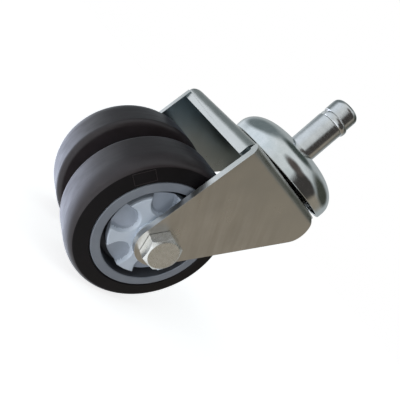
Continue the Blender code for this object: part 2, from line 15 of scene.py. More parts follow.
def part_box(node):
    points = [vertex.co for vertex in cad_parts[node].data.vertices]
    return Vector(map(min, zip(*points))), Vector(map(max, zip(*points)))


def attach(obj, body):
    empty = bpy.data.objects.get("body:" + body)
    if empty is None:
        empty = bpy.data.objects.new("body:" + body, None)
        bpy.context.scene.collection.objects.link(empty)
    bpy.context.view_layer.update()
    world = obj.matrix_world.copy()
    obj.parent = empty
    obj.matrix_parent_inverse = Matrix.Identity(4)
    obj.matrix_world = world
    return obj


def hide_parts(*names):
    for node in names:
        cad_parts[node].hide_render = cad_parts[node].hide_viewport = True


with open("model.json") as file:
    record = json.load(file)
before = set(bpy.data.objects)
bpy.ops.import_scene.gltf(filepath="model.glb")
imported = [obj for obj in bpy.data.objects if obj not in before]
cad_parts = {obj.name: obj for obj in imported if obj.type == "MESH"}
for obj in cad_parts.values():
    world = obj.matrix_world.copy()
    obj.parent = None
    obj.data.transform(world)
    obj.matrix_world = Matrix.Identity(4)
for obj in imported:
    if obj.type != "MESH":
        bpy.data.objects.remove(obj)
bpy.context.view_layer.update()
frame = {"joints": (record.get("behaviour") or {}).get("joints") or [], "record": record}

MM = 0.001
BODY_OF = {
    node: body for body, nodes in frame["record"]["behaviour"]["bodies"].items() for node in nodes
}


def lowest(node):
    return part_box(node)[0]


def highest(node):
    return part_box(node)[1]


def joint_place(name):
    found = next(joint for joint in frame["joints"] if joint["name"] == name)
    return Vector(found["pos_m"])


# Places and main sizes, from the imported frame
AXLE = joint_place("near_wheel_spin")
STEM_TOP = highest("stem").z
RIVET_RADIUS = highest("stem").x
RIVET_END = lowest("stem").z
RING_RADIUS = highest("grip_ring").x
RING_LOW = lowest("grip_ring").z
RING_HIGH = highest("grip_ring").z
CAP_RADIUS = highest("swivel_cap").x
CAP_RIM = lowest("swivel_cap").z
PLATE_TOP = highest("fork").z
PLATE_REAR = highest("fork").x
FORK_OUT = highest("fork").y
LEG_END_RADIUS = AXLE.x - lowest("fork").x
WHEEL_RADIUS = AXLE.z - lowest("near_tyre").z
TYRE_OUT = highest("far_tyre").y
TYRE_IN = lowest("far_tyre").y
RIM_RADIUS = AXLE.z - lowest("near_wheel_core").z
BOSS_OUT = highest("far_wheel_core").y
HUB_IN = lowest("far_wheel_core").y
BOLT_OUT = -lowest("axle_bolt").y
BOLT_END = highest("axle_bolt").y
NUT_SEAT = lowest("axle_nut").y
NUT_OUT = highest("axle_nut").y

# Space left between neighbouring pieces
GAP = 0.3 * MM
RUNNING_GAP = 0.15 * MM

# Stem, grip ring and kingpin
STEM_RADIUS = 5.5 * MM
STEM_TIP_RADIUS = 3.2 * MM
STEM_TIP_ROUND = 2.1 * MM
STEM_TIP_ARC = radians(66)
STEM_TIP_EDGE = 0.2 * MM
STEM_EDGE = 0.15 * MM
RING_GROOVE_RADIUS = 4.6 * MM
RING_OPENING = radians(50)
RING_OPENING_AT = radians(150)
RING_SWELL = 0.22 * MM
RING_END_EDGE = 0.1 * MM
RING_PLAY = 0.28 * MM
RING_LEAN = radians(-45)
KINGPIN_RADIUS = 4.0 * MM
RIVET_HEIGHT = 1.8 * MM
RIVET_DOME_START = radians(-12)
RIVET_DOME_END = radians(-80)
PIN_HOLE_RADIUS = 4.3 * MM

# Swivel cap
CAP_FLAT_RADIUS = 9.6 * MM
CAP_BAND_TOP = -8.9 * MM
CAP_SHEET = 1.2 * MM
CAP_RECESS_RADIUS = 5.8 * MM
CAP_RECESS_EDGE = 0.1 * MM
CAP_EDGE = 0.3 * MM

# Ball races
RACE_SHEET = 1.6 * MM
RACE_EDGE = 0.25 * MM
RACE_FLAT_END = 8.8 * MM
RACE_CONE_FOOT = 12.7 * MM
RACE_GUARD_DROP = 1.0 * MM
TRACK_RADIUS = 14.0 * MM
TRACK_DEPTH = 0.2 * MM

# Fork
SHEET = 2.0 * MM
BEND = 3.0 * MM
FORK_FRONT = -35.1 * MM
FORK_PIN_HOLE = 5.0 * MM
LEG_REAR_RADIUS = 7.2 * MM
LEG_REAR_X = -0.8 * MM
LIP_HEIGHT = 5.4 * MM
LIP_NEAR_END = -20.7 * MM
LIP_JOIN = radians(54)
LIP_CORNER = 0.5 * MM
NOTCH_WIDTH = 1.6 * MM
NOTCH_DEPTH = 3.3 * MM
NOTCH_CORNER = 0.5 * MM
SHEET_EDGE = 0.22 * MM
SHADE_DEPTH = 22 * MM
NICK_COLOUR = (0.25, 0.22, 0.19)

# Bolt and nut
BOLT_RADIUS = 3.0 * MM
HEX_ACROSS_FLATS = 10.0 * MM
HEX_TURN = radians(49)
HEAD_FACE_RADIUS = 4.6 * MM
HEAD_SLOPE = radians(35)
HEAD_EDGE = 0.16 * MM
THREAD_PITCH = 1.0 * MM
THREAD_DEPTH = 0.55 * MM
THREAD_FLAT = 0.06 * MM
THREAD_TURNS = 9
BOLT_POINT = 0.8 * MM
BOLT_POINT_STEP = 0.2 * MM
LIGHT_PLATE = (0.97, 0.96, 0.92)
DARK_PLATE = (0.84, 0.83, 0.77)
NUT_COLLAR_RADIUS = 4.6 * MM
NUT_COLLAR_HEIGHT = 2.0 * MM
NUT_COLLAR_WALL = 0.5 * MM
NUT_COLLAR_ROUND = 0.6 * MM
NUT_EDGE = 0.12 * MM
TURNED_RING_EDGE = 0.15 * MM

# Wheels; heights are measured out from the caster's middle plane along the axle
TREAD_OUT = 15.0 * MM
TREAD_IN_ROUND = 1.9 * MM
SIDEWALL_RADIUS = 22.8 * MM
SIDEWALL_OUT = 20.7 * MM
TYRE_BORE = RIM_RADIUS + 0.25 * MM
TYRE_STEP = 0.15 * MM
TYRE_LEAN = 0.02 * MM
TYRE_BORE_ROUND = 0.2 * MM
PANEL_AT = radians(146.5)
PANEL_RADIUS = 20.9 * MM
PANEL_LENGTH = 6.2 * MM
PANEL_WIDTH = 3.3 * MM
PANEL_LINE = 0.16 * MM
PANEL_RISE = 0.07 * MM
RIM_BORE = 15.75 * MM
GROOVE_FLOOR = 15.0 * MM
DISC_RADIUS = 13.9 * MM
DISC_OUT = 20.9 * MM
WEB_IN = 12.0 * MM
HUB_RADIUS = 7.5 * MM
BOSS_RADIUS = 6.4 * MM
BUSH_RADIUS = 5.45 * MM
POCKETS = 6
POCKET_TURN = radians(4.8)
POCKET_FLOOR_IN = 19.5 * MM
POCKET_FLOOR_OUT = 18.5 * MM
POCKET_ROUND = 3.7 * MM
POCKET_ROUND_AT = 11.4 * MM
POCKET_SLOPE = 0.45 * MM
CORE_EDGE = 0.3 * MM
BORE_EDGE = 0.1 * MM
GRID_STEP = 0.25 * MM

SEGMENTS = 160
WHEEL_SEGMENTS = 360
SMALL_SEGMENTS = 64
SHARP_ANGLE = radians(35)
CORE_SHARP_ANGLE = radians(40)
BALL_STEPS = 12
TOWARDS_NEAR = (pi / 2, 0, 0)
TOWARDS_FAR = (-pi / 2, 0, 0)
ALONG_X = (pi / 2, 0, pi / 2)

# A Mix node's colour sockets, by number because its other sockets share their names
MIX_COLOUR_INPUTS = (6, 7)
MIX_COLOUR_OUTPUT = 2

# Surroundings that the metal reflects: colour, direction, and the angles in degrees from that
# direction between which the colour fades out
SURROUNDINGS = (0.36, 0.39, 0.40)
PATCHES = [
    ((0.62, 0.66, 0.68), (-0.55, -0.45, 0.70), 35, 65),
    ((0.70, 0.77, 0.84), (-0.72, 0.68, -0.10), 35, 70),
    ((1.00, 1.06, 1.14), (-0.05, 0.60, -0.80), 35, 65),
    ((2.00, 2.15, 2.60), (-0.20, 0.78, -0.60), 16, 36),
    ((1.00, 1.05, 1.12), (-0.35, -0.60, -0.72), 25, 48),
    ((0.25, 0.225, 0.185), (0.72, -0.68, -0.30), 28, 48),
    ((0.05, 0.055, 0.045), (0.80, -0.20, 0.57), 18, 30),
    ((0.045, 0.042, 0.04), (0.15, -0.93, 0.32), 24, 34),
    ((0.05, 0.065, 0.06), (0.20, 0.20, 0.96), 12, 22),
    ((0.15, 0.18, 0.19), (-0.25, 0.76, 0.60), 22, 36),
    ((0.08, 0.07, 0.065), (-0.37, -0.70, 0.61), 14, 26),
]

# Soft lights: name, place in metres, side in metres and power in watts
LIGHTS = [
    ("key_light", (-0.50, 0.0, -0.16), 0.25, 1.8),
    ("fill_light", (-0.25, -0.45, -0.06), 0.35, 1.0),
]
LIT_PLACE = Vector((-20, 0, -40)) * MM

FLOOR_RADIUS = 3.0
FLOOR_THICKNESS = 0.02
FLOOR_SEGMENTS = 96

# Camera, at the photograph's viewing angle
CAMERA_AT = Vector((-103.8, -103.5, -20.9)) * MM
CAMERA_AZIMUTH = radians(49.0)
CAMERA_ELEVATION = radians(-7.25)
CAMERA_ROLL = radians(48.84)
CAMERA_LENS_MM = 34.85


# Outlines and meshes


def arc(centre, radius, start, end, steps):
    """Points on an arc; radius may be a pair of half axes, which gives an elliptical arc."""
    across, along = radius if isinstance(radius, tuple) else (radius, radius)
    angles = [start + (end - start) * k / steps for k in range(steps + 1)]
    return [(centre[0] + across * cos(a), centre[1] + along * sin(a)) for a in angles]


def circle(radius, segments):
    """Evenly spaced points round a circle about the origin."""
    return arc((0, 0), radius, 0, tau * (1 - 1 / segments), segments - 1)


def sharp(points):
    """The same points as corners that stay as they are."""
    return [(x, y, 0) for x, y in points]


def rounded(corners, steps=4):
    """Closed outline through (x, y, radius) corners, each turned into an arc of its radius."""
    outline = []
    for i, (x, y, radius) in enumerate(corners):
        if radius == 0:
            outline.append((x, y))
            continue
        corner = Vector((x, y))
        before = (Vector(corners[i - 1][:2]) - corner).normalized()
        after = (Vector(corners[(i + 1) % len(corners)][:2]) - corner).normalized()
        half = before.angle(after) / 2
        centre = corner + (before + after).normalized() * radius / sin(half)
        first = corner + before * radius / tan(half) - centre
        last = corner + after * radius / tan(half) - centre
        start = atan2(first.y, first.x)
        sweep = (atan2(last.y, last.x) - start + pi) % tau - pi
        outline += arc(centre, radius, start, start + sweep, steps)
    return outline


def belt_outline(circles, step=radians(5)):
    """Outline of a belt drawn anticlockwise round (x, y, radius) circles; radius 0 is a corner."""
    departures = []
    for (x0, y0, r0), (x1, y1, r1) in zip(circles, circles[1:] + circles[:1]):
        heading = atan2(y1 - y0, x1 - x0)
        departures.append(heading - acos((r0 - r1) / hypot(x1 - x0, y1 - y0)))
    outline = []
    for i, (x, y, radius) in enumerate(circles):
        if radius == 0:
            outline.append((x, y))
            continue
        start = departures[i - 1]
        sweep = (departures[i] - start) % tau
        outline += arc((x, y), radius, start, start + sweep, ceil(sweep / step))
    return outline


def to_mesh(bm, name):
    bmesh.ops.recalc_face_normals(bm, faces=bm.faces)
    mesh = bpy.data.meshes.new(name)
    bm.to_mesh(mesh)
    bm.free()
    mesh.shade_smooth()
    mesh.set_sharp_from_angle(angle=SHARP_ANGLE)
    return mesh


def turned(name, profile, segments=SEGMENTS, start=0.0, sweep=tau):
    """Turn a closed (radius, height) profile about Z, all the way round or through a sweep."""
    bm = bmesh.new()
    whole = sweep == tau
    stations = segments if whole else segments + 1
    angles = [start + sweep * k / segments for k in range(stations)]
    rings = []
    for radius, height in profile:
        if radius == 0:
            rings.append([bm.verts.new((0, 0, height))] * stations)
        else:
            rings.append([bm.verts.new((radius * cos(a), radius * sin(a), height)) for a in angles])
    for level, following in zip(rings, rings[1:] + rings[:1]):
        for i in range(segments):
            j = (i + 1) % stations
            corners = list(dict.fromkeys([level[i], level[j], following[j], following[i]]))
            if len(corners) > 2:
                bm.faces.new(corners)
    if not whole:
        bm.faces.new([level[0] for level in rings])
        bm.faces.new([level[-1] for level in rings])
    return to_mesh(bm, name)


def prism(name, outline, low, high):
    """Extrude an (x, y) outline from one height to another."""
    bm = bmesh.new()
    bottom = [bm.verts.new((x, y, low)) for x, y in outline]
    top = [bm.verts.new((x, y, high)) for x, y in outline]
    bm.faces.new(bottom)
    bm.faces.new(top)
    for i, corner in enumerate(bottom):
        j = (i + 1) % len(bottom)
        bm.faces.new((corner, bottom[j], top[j], top[i]))
    return to_mesh(bm, name)


def ring(name, inner, outer, low, high):
    """Turned ring with its four edges rounded."""
    edge = TURNED_RING_EDGE
    corners = [(inner, low, edge), (outer, low, edge), (outer, high, edge), (inner, high, edge)]
    return turned(name, rounded(corners, 3), SMALL_SEGMENTS)


def hexagon(across_flats, turn):
    corner_radius = across_flats / sqrt(3)
    angles = [turn + k * pi / 3 for k in range(6)]
    return [(corner_radius * cos(a), corner_radius * sin(a)) for a in angles]


def solid(name, mesh, location=(0, 0, 0), rotation=(0, 0, 0)):
    """A loose object, to be cut, joined to others or used as a cutter."""
    obj = bpy.data.objects.new(name, mesh)
    obj.location = location
    obj.rotation_euler = rotation
    bpy.context.scene.collection.objects.link(obj)
    return obj


def shape(blank, *steps):
    """Apply (operation, tool) steps to a blank in turn, and return the finished mesh."""
    for operation, tool in steps:
        modifier = blank.modifiers.new(tool.name, "BOOLEAN")
        modifier.operation = operation
        modifier.object = tool
    bpy.context.view_layer.update()
    evaluated = blank.evaluated_get(bpy.context.evaluated_depsgraph_get())
    mesh = bpy.data.meshes.new_from_object(evaluated)
    mesh.transform(blank.matrix_world)
    for spent in [blank, *(tool for _, tool in steps)]:
        bpy.data.objects.remove(spent, do_unlink=True)
    mesh.materials.clear()
    mesh.shade_smooth()
    mesh.set_sharp_from_angle(angle=SHARP_ANGLE)
    return mesh


# Materials


def start_material(name, **sockets):
    """New material; each keyword sets the shader input of that name, such as coat_weight."""
    material = bpy.data.materials.new(name)
    material.use_nodes = True
    shader = material.node_tree.nodes["Principled BSDF"]
    names = {socket.name.lower().replace(" ", "_"): socket for socket in shader.inputs}
    for socket_name, value in sockets.items():
        names[socket_name].default_value = value
    return material


def add_node(tree, kind, inputs, **settings):
    """Add a node; inputs maps its sockets to values or to other nodes' outputs."""
    node = tree.nodes.new(kind)
    for name, value in settings.items():
        setattr(node, name, value)
    for name, value in inputs.items():
        if isinstance(value, bpy.types.NodeSocket):
            tree.links.new(value, node.inputs[name])
        else:
            node.inputs[name].default_value = value
    return node


def local_place(tree, stretch=(1, 1, 1), turn=(0, 0, 0)):
    """The surface point in the piece's own axes, turned and then stretched."""
    place = tree.nodes.new("ShaderNodeTexCoord").outputs["Object"]
    turned_place = add_node(tree, "ShaderNodeMapping", {"Vector": place, "Rotation": turn})
    vector = turned_place.outputs["Vector"]
    return add_node(tree, "ShaderNodeMapping", {"Vector": vector, "Scale": stretch}).outputs[0]


def noise(tree, place, size, detail=4.0, roughness=0.55):
    """Noise from 0 to 1, whose largest features are about the given size."""
    inputs = {"Vector": place, "Scale": 1 / size, "Detail": detail, "Roughness": roughness}
    return add_node(tree, "ShaderNodeTexNoise", inputs).outputs[0]


def spread(tree, value, from_low, from_high, to_low, to_high):
    """Rescale a value from one range to another and clamp it."""
    inputs = {
        "Value": value,
        "From Min": from_low,
        "From Max": from_high,
        "To Min": to_low,
        "To Max": to_high,
    }
    return add_node(tree, "ShaderNodeMapRange", inputs).outputs[0]


def blend(tree, factor, first, second):
    """Mix two colours, or outputs that carry a colour."""
    node = add_node(tree, "ShaderNodeMix", {"Factor": factor}, data_type="RGBA")
    for number, value in zip(MIX_COLOUR_INPUTS, (first, second)):
        socket = node.inputs[number]
        if isinstance(value, bpy.types.NodeSocket):
            tree.links.new(value, socket)
        else:
            socket.default_value = (*value, 1)
    return node.outputs[MIX_COLOUR_OUTPUT]


def set_input(material, name, output):
    shader = material.node_tree.nodes["Principled BSDF"]
    material.node_tree.links.new(output, shader.inputs[name])


def add_bump(material, *layers):
    """Bump from (height output, depth in metres) layers, one on top of the other."""
    tree = material.node_tree
    normal = None
    for height, depth in layers:
        node = add_node(tree, "ShaderNodeBump", {"Height": height, "Distance": depth})
        if normal:
            tree.links.new(normal, node.inputs["Normal"])
        normal = node.outputs["Normal"]
    set_input(material, "Normal", normal)


def sheet_zinc(name, light, dark, shaded_tint):
    """Zinc plate on pressed sheet: faint streaks along the roll, mottling, and few small nicks.

    The colour blends into a shade tint towards the swivel head: painted shade, strongest near the
    plate.
    """
    material = start_material(name, metallic=1.0)
    tree = material.node_tree
    plain = local_place(tree)
    streaks = noise(tree, local_place(tree, (1, 1, 0.12), (0, radians(38), 0)), 2.4 * MM, 4)
    mottle = noise(tree, plain, 9 * MM, 5, 0.6)
    waves = noise(tree, plain, 16 * MM, 2)
    grain = noise(tree, plain, 0.35 * MM, 3)
    nick_place = local_place(tree, (0.4, 1, 1.4), (0, radians(25), 0))
    nicks = spread(tree, noise(tree, nick_place, 1.3 * MM, 1.0), 0.80, 0.82, 0, 1)
    streaked = blend(tree, spread(tree, streaks, 0.3, 0.7, 0, 1), dark, light)
    mottled = blend(tree, spread(tree, mottle, 0.35, 0.7, 0, 0.6), streaked, dark)
    # Painted shade: the colour blends into the shade tint higher up the legs, towards the plate.
    height = add_node(tree, "ShaderNodeSeparateXYZ", {"Vector": plain}).outputs["Z"]
    shade = spread(tree, height, PLATE_TOP - SHADE_DEPTH, PLATE_TOP - LIP_HEIGHT, 0, 1)
    shaded = blend(tree, shade, mottled, shaded_tint)
    set_input(material, "Base Color", blend(tree, nicks, shaded, NICK_COLOUR))
    set_input(material, "Roughness", spread(tree, mottle, 0.3, 0.7, 0.26, 0.38))
    add_bump(material, (waves, 0.30 * MM), (streaks, 0.014 * MM), (grain, 0.010 * MM))
    return material


def cap_zinc():
    """Brighter plate on the deep-drawn cap, with slow waves left by the press."""
    material = start_material("cap_zinc", metallic=1.0)
    tree = material.node_tree
    plain = local_place(tree)
    waves = noise(tree, plain, 14 * MM, 2)
    mottle = noise(tree, plain, 2.2 * MM, 5, 0.6)
    grain = noise(tree, plain, 0.3 * MM, 3)
    light = (0.90, 0.91, 0.90)
    dark = (0.80, 0.83, 0.82)
    colour = blend(tree, spread(tree, mottle, 0.4, 0.65, 0, 1), dark, light)
    set_input(material, "Base Color", colour)
    set_input(material, "Roughness", spread(tree, mottle, 0.3, 0.7, 0.09, 0.17))
    add_bump(material, (waves, 0.25 * MM), (grain, 0.006 * MM))
    return material


def turned_steel(name, tint, roughness, ring_pitch):
    """Turned and plated steel, with tool marks round the piece's own Z axis."""
    material = start_material(name, metallic=1.0)
    tree = material.node_tree
    plain = local_place(tree)
    along = local_place(tree, (0.02, 0.02, 1))
    marks = noise(tree, along, ring_pitch, 3)
    mottle = noise(tree, plain, 3 * MM, 5, 0.6)
    darker = tuple(0.86 * channel for channel in tint)
    colour = blend(tree, spread(tree, mottle, 0.4, 0.7, 0, 1), tint, darker)
    set_input(material, "Base Color", colour)
    set_input(material, "Roughness", spread(tree, marks, 0.3, 0.7, roughness, roughness + 0.1))
    add_bump(material, (marks, 0.012 * MM), (mottle, 0.03 * MM))
    return material


def fastener_zinc():
    """Yellowish zinc plate with the fine dents of a bulk-plated part."""
    material = start_material("fastener_zinc", metallic=0.82)
    tree = material.node_tree
    plain = local_place(tree)
    dents = noise(tree, plain, 1.1 * MM, 4)
    grain = noise(tree, plain, 0.22 * MM, 3)
    tint = blend(tree, spread(tree, dents, 0.35, 0.65, 0, 1), LIGHT_PLATE, DARK_PLATE)
    set_input(material, "Base Color", tint)
    set_input(material, "Roughness", spread(tree, grain, 0.3, 0.7, 0.24, 0.36))
    add_bump(material, (dents, 0.05 * MM), (grain, 0.012 * MM))
    return material


def rubber(name, dark, light, roughness, gloss, sheen):
    """Moulded thermoplastic rubber: fine grain, faint scuffs round the wheel and dusty patches."""
    material = start_material(
        name,
        specular_ior_level=gloss,
        sheen_weight=sheen,
        sheen_roughness=0.25,
        sheen_tint=(0.72, 0.82, 1.0, 1.0),
    )
    tree = material.node_tree
    plain = local_place(tree)
    dust = noise(tree, plain, 7 * MM, 5, 0.6)
    grain = noise(tree, plain, 0.28 * MM, 3)
    scuffs = noise(tree, local_place(tree, (0.25, 0.25, 1)), 1.4 * MM, 4)
    set_input(material, "Base Color", blend(tree, spread(tree, dust, 0.35, 0.7, 0, 1), dark, light))
    set_input(material, "Roughness", spread(tree, scuffs, 0.3, 0.7, roughness, roughness + 0.14))
    add_bump(material, (grain, 0.010 * MM), (scuffs, 0.010 * MM))
    return material


def moulded(name, dark, light, roughness):
    """Injection-moulded plastic: slight flow marks, a fine eroded texture and a soft gloss."""
    material = start_material(name, specular_ior_level=0.5)
    tree = material.node_tree
    plain = local_place(tree)
    flow = noise(tree, plain, 6 * MM, 3)
    grain = noise(tree, plain, 0.25 * MM, 3)
    colour = blend(tree, spread(tree, flow, 0.35, 0.65, 0, 1), dark, light)
    set_input(material, "Base Color", colour)
    set_input(material, "Roughness", spread(tree, grain, 0.3, 0.7, roughness, roughness + 0.12))
    add_bump(material, (grain, 0.012 * MM), (flow, 0.03 * MM))
    return material


def floor_paint():
    """Pale studio floor with a barely visible mottle."""
    material = start_material("floor_paint", roughness=0.9, emission_strength=0.8)
    tree = material.node_tree
    mottle = noise(tree, local_place(tree), 0.4, 3)
    colour = blend(tree, mottle, (0.90, 0.90, 0.90), (0.93, 0.93, 0.93))
    set_input(material, "Base Color", colour)
    set_input(material, "Emission Color", colour)
    return material


SHEET_ZINC = sheet_zinc("sheet_zinc", (0.93, 0.92, 0.90), (0.76, 0.74, 0.70), (0.82, 0.81, 0.77))
# A darker, bluish copy of the sheet zinc: painted shade for the fork's inner faces.
SHADED_INNER_ZINC = sheet_zinc("inner_zinc", (0.72, 0.79, 0.82), (0.62, 0.68, 0.71), (0.20, 0.25, 0.27))
CAP_ZINC = cap_zinc()
STEM_STEEL = turned_steel("stem_steel", (0.86, 0.86, 0.85), 0.16, 0.5 * MM)
BEARING_STEEL = turned_steel("bearing_steel", (0.62, 0.62, 0.63), 0.14, 0.4 * MM)
# Near-black steel: grease, and also painted shade inside the cap on the races, balls and the cap's
# underside.
GREASED_AND_SHADED_STEEL = turned_steel("greased_steel", (0.05, 0.048, 0.045), 0.45, 0.4 * MM)
FASTENER_ZINC = fastener_zinc()
TREAD_RUBBER = rubber(
    "tread_rubber", (0.026, 0.020, 0.021), (0.036, 0.028, 0.030), 0.30, 0.5, 0.1
)
SIDEWALL_RUBBER = rubber(
    "sidewall_rubber", (0.004, 0.003, 0.0035), (0.007, 0.005, 0.006), 0.5, 0.3, 0.05
)
RIM_PLASTIC = moulded("rim_plastic", (0.20, 0.22, 0.255), (0.23, 0.25, 0.285), 0.34)
# Painted shade: a near-black copy of the rim plastic for the deep groove.
GROOVE_SHADE_PLASTIC = moulded("groove_plastic", (0.055, 0.06, 0.07), (0.075, 0.08, 0.09), 0.45)
# Painted shade: a darker copy of the hub plastic for the pocket floors.
POCKET_SHADE_PLASTIC = moulded("pocket_plastic", (0.31, 0.35, 0.41), (0.37, 0.41, 0.48), 0.40)
HUB_PLASTIC = moulded("hub_plastic", (0.54, 0.60, 0.68), (0.60, 0.66, 0.74), 0.36)
NYLON = moulded("nylon", (0.66, 0.65, 0.60), (0.74, 0.73, 0.69), 0.40)
INSERT_NYLON = moulded("insert_nylon", (0.07, 0.16, 0.42), (0.10, 0.21, 0.50), 0.38)


# Pieces


def stand_in(node, mesh, materials, location=(0, 0, 0), rotation=(0, 0, 0), edge=0.0):
    """Show a mesh in place of a CAD node, riding on that node's body."""
    piece = solid(node + "_look", mesh, location, rotation)
    for material in materials:
        mesh.materials.append(material)
    if edge:
        bevel = piece.modifiers.new("edge", "BEVEL")
        bevel.width = edge
        bevel.segments = 2
        bevel.limit_method = "ANGLE"
        bevel.angle_limit = SHARP_ANGLE
    normals = piece.modifiers.new("normals", "WEIGHTED_NORMAL")
    normals.keep_sharp = True
    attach(piece, BODY_OF[node])
    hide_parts(node)
    return piece


def show_stem():
    """Stem with a rounded tip, the grip ring's groove, the kingpin and its formed rivet head."""
    rivet_top = RIVET_END + RIVET_HEIGHT
    groove_low = RING_LOW - GAP
    groove_high = RING_HIGH + GAP
    edge = STEM_EDGE
    tip_at = (STEM_RADIUS - STEM_TIP_ROUND, STEM_TOP - STEM_TIP_ROUND)
    rivet_axes = (RIVET_RADIUS, RIVET_HEIGHT)
    profile = rounded(
        [
            (0, STEM_TOP, 0),
            (STEM_TIP_RADIUS, STEM_TOP, STEM_TIP_EDGE),
            *sharp(arc(tip_at, STEM_TIP_ROUND, STEM_TIP_ARC, 0, 10)),
            (STEM_RADIUS, groove_high, edge),
            (RING_GROOVE_RADIUS, groove_high, edge),
            (RING_GROOVE_RADIUS, groove_low, edge),
            (STEM_RADIUS, groove_low, edge),
            (STEM_RADIUS, 0, edge),
            (KINGPIN_RADIUS, 0, 0),
            (KINGPIN_RADIUS, rivet_top, 0),
            (RIVET_RADIUS, rivet_top, edge),
            *sharp(arc((0, rivet_top), rivet_axes, RIVET_DOME_START, RIVET_DOME_END, 8)),
            (0, RIVET_END, 0),
        ]
    )
    stand_in("stem", turned("stem", profile, SMALL_SEGMENTS), [STEM_STEEL])


def show_grip_ring():
    """Split spring ring, resting against one side of its groove."""
    low = RING_LOW - RING_SWELL
    high = RING_HIGH + RING_SWELL
    inner = RING_GROOVE_RADIUS + RING_PLAY
    bulge = (RING_RADIUS - RING_PLAY - STEM_RADIUS, (high - low) / 2)
    profile = [
        (inner, low),
        *arc((STEM_RADIUS, (low + high) / 2), bulge, radians(-90), radians(90), 10),
        (inner, high),
    ]
    start = RING_OPENING_AT + RING_OPENING / 2
    mesh = turned("grip_ring", profile, SMALL_SEGMENTS, start, tau - RING_OPENING)
    lean = (RING_PLAY * cos(RING_LEAN), RING_PLAY * sin(RING_LEAN), 0)
    stand_in("grip_ring", mesh, [STEM_STEEL], lean, edge=RING_END_EDGE)


def show_swivel_cap():
    """Deep-drawn dome: rolled rim, straight band, elliptical shoulder and flat top."""
    outside = (CAP_RADIUS - CAP_FLAT_RADIUS, -CAP_BAND_TOP)
    inside = (outside[0] - CAP_SHEET, outside[1] - CAP_SHEET)
    centre = (CAP_FLAT_RADIUS, CAP_BAND_TOP)
    edge = CAP_EDGE
    profile = rounded(
        [
            (CAP_RADIUS, CAP_RIM, edge),
            *sharp(arc(centre, outside, 0, pi / 2, 28)),
            (CAP_RECESS_RADIUS, 0, CAP_RECESS_EDGE),
            (CAP_RECESS_RADIUS, -GAP, 0),
            (PIN_HOLE_RADIUS, -GAP, 0),
            (PIN_HOLE_RADIUS, -CAP_SHEET, 0),
            *sharp(arc(centre, inside, pi / 2, 0, 20)),
            (CAP_RADIUS - CAP_SHEET, CAP_RIM, edge),
        ]
    )
    mesh = turned("swivel_cap", profile)
    # The cap's underside takes the near-black greased steel: grease, and painted shade inside the
    # cap.
    for face in mesh.polygons:
        if face.normal.z < 0 and face.center.z > CAP_RIM + edge:
            face.material_index = 1
    stand_in("swivel_cap", mesh, [CAP_ZINC, GREASED_AND_SHADED_STEEL])


def show_races():
    """The two ball cups, as turned rings of the CAD nodes' sizes with rounded edges."""
    edge = RACE_EDGE
    top = highest("upper_race").z
    guard = lowest("upper_race").z
    outer = highest("upper_race").x
    track = guard + RACE_GUARD_DROP
    back = track + RACE_SHEET
    wall_in = outer - CAP_SHEET
    upper = rounded(
        [
            (PIN_HOLE_RADIUS, top, 0),
            (RACE_FLAT_END, top, edge),
            (RACE_CONE_FOOT, back, edge),
            (wall_in, back, edge),
            (outer, track, edge),
            (outer, guard, edge),
            (wall_in, guard, edge),
            (wall_in, track - TRACK_DEPTH, 0),
            (TRACK_RADIUS, track, 0),
            (RACE_CONE_FOOT - RACE_SHEET, track - TRACK_DEPTH, edge),
            (RACE_FLAT_END - RACE_SHEET / 2, top - RACE_SHEET, edge),
            (PIN_HOLE_RADIUS, top - RACE_SHEET, 0),
        ]
    )
    stand_in("upper_race", turned("upper_race", upper), [GREASED_AND_SHADED_STEEL])
    foot = lowest("lower_race").z
    rim = highest("lower_race").z
    outer = highest("lower_race").x
    floor = foot + RACE_SHEET
    lower = rounded(
        [
            (PIN_HOLE_RADIUS, foot, 0),
            (outer, foot, 2 * edge),
            (outer, rim, edge),
            (outer - CAP_SHEET, rim, edge),
            (outer - CAP_SHEET, floor, 0),
            (PIN_HOLE_RADIUS, floor, 0),
        ]
    )
    stand_in("lower_race", turned("lower_race", lower), [GREASED_AND_SHADED_STEEL])


def show_balls():
    """A smooth ball for each CAD ball, sized and placed by that ball's box."""
    balls = [node for node in BODY_OF if node.startswith(("upper_ball_", "lower_ball_"))]
    for node in sorted(balls):
        low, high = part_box(node)
        radius = (high.z - low.z) / 2
        profile = arc((0, 0), radius, -pi / 2, pi / 2, BALL_STEPS)
        profile = [(0, -radius), *profile[1:-1], (0, radius)]
        mesh = turned(node, profile, 2 * BALL_STEPS)
        stand_in(node, mesh, [GREASED_AND_SHADED_STEEL], location=(low + high) / 2)


def fork_section(foot):
    """The bent sheet across the fork, as (y, z) points: two legs joined by the top plate."""
    bend_y = FORK_OUT - BEND
    bend_z = PLATE_TOP - BEND
    leg_in = FORK_OUT - SHEET
    return [
        (-FORK_OUT, foot),
        *arc((-bend_y, bend_z), BEND, pi, pi / 2, 10),
        *arc((bend_y, bend_z), BEND, pi / 2, 0, 10),
        (FORK_OUT, foot),
        (leg_in, foot),
        *arc((bend_y, bend_z), BEND - SHEET, 0, pi / 2, 6),
        *arc((-bend_y, bend_z), BEND - SHEET, pi / 2, pi, 6),
        (-leg_in, foot),
    ]


def lip_section():
    """The plate's front edge turned down into a stiffening lip, as (x, z) points."""
    centre = (FORK_FRONT + BEND, PLATE_TOP - BEND)
    back = FORK_FRONT + NOTCH_DEPTH + SHEET
    foot = PLATE_TOP - LIP_HEIGHT
    return [
        (back, PLATE_TOP),
        *arc(centre, BEND, pi / 2, pi, 10),
        (FORK_FRONT, foot),
        (FORK_FRONT + SHEET, foot),
        *arc(centre, BEND - SHEET, pi, pi / 2, 6),
        (back, PLATE_TOP - SHEET),
    ]


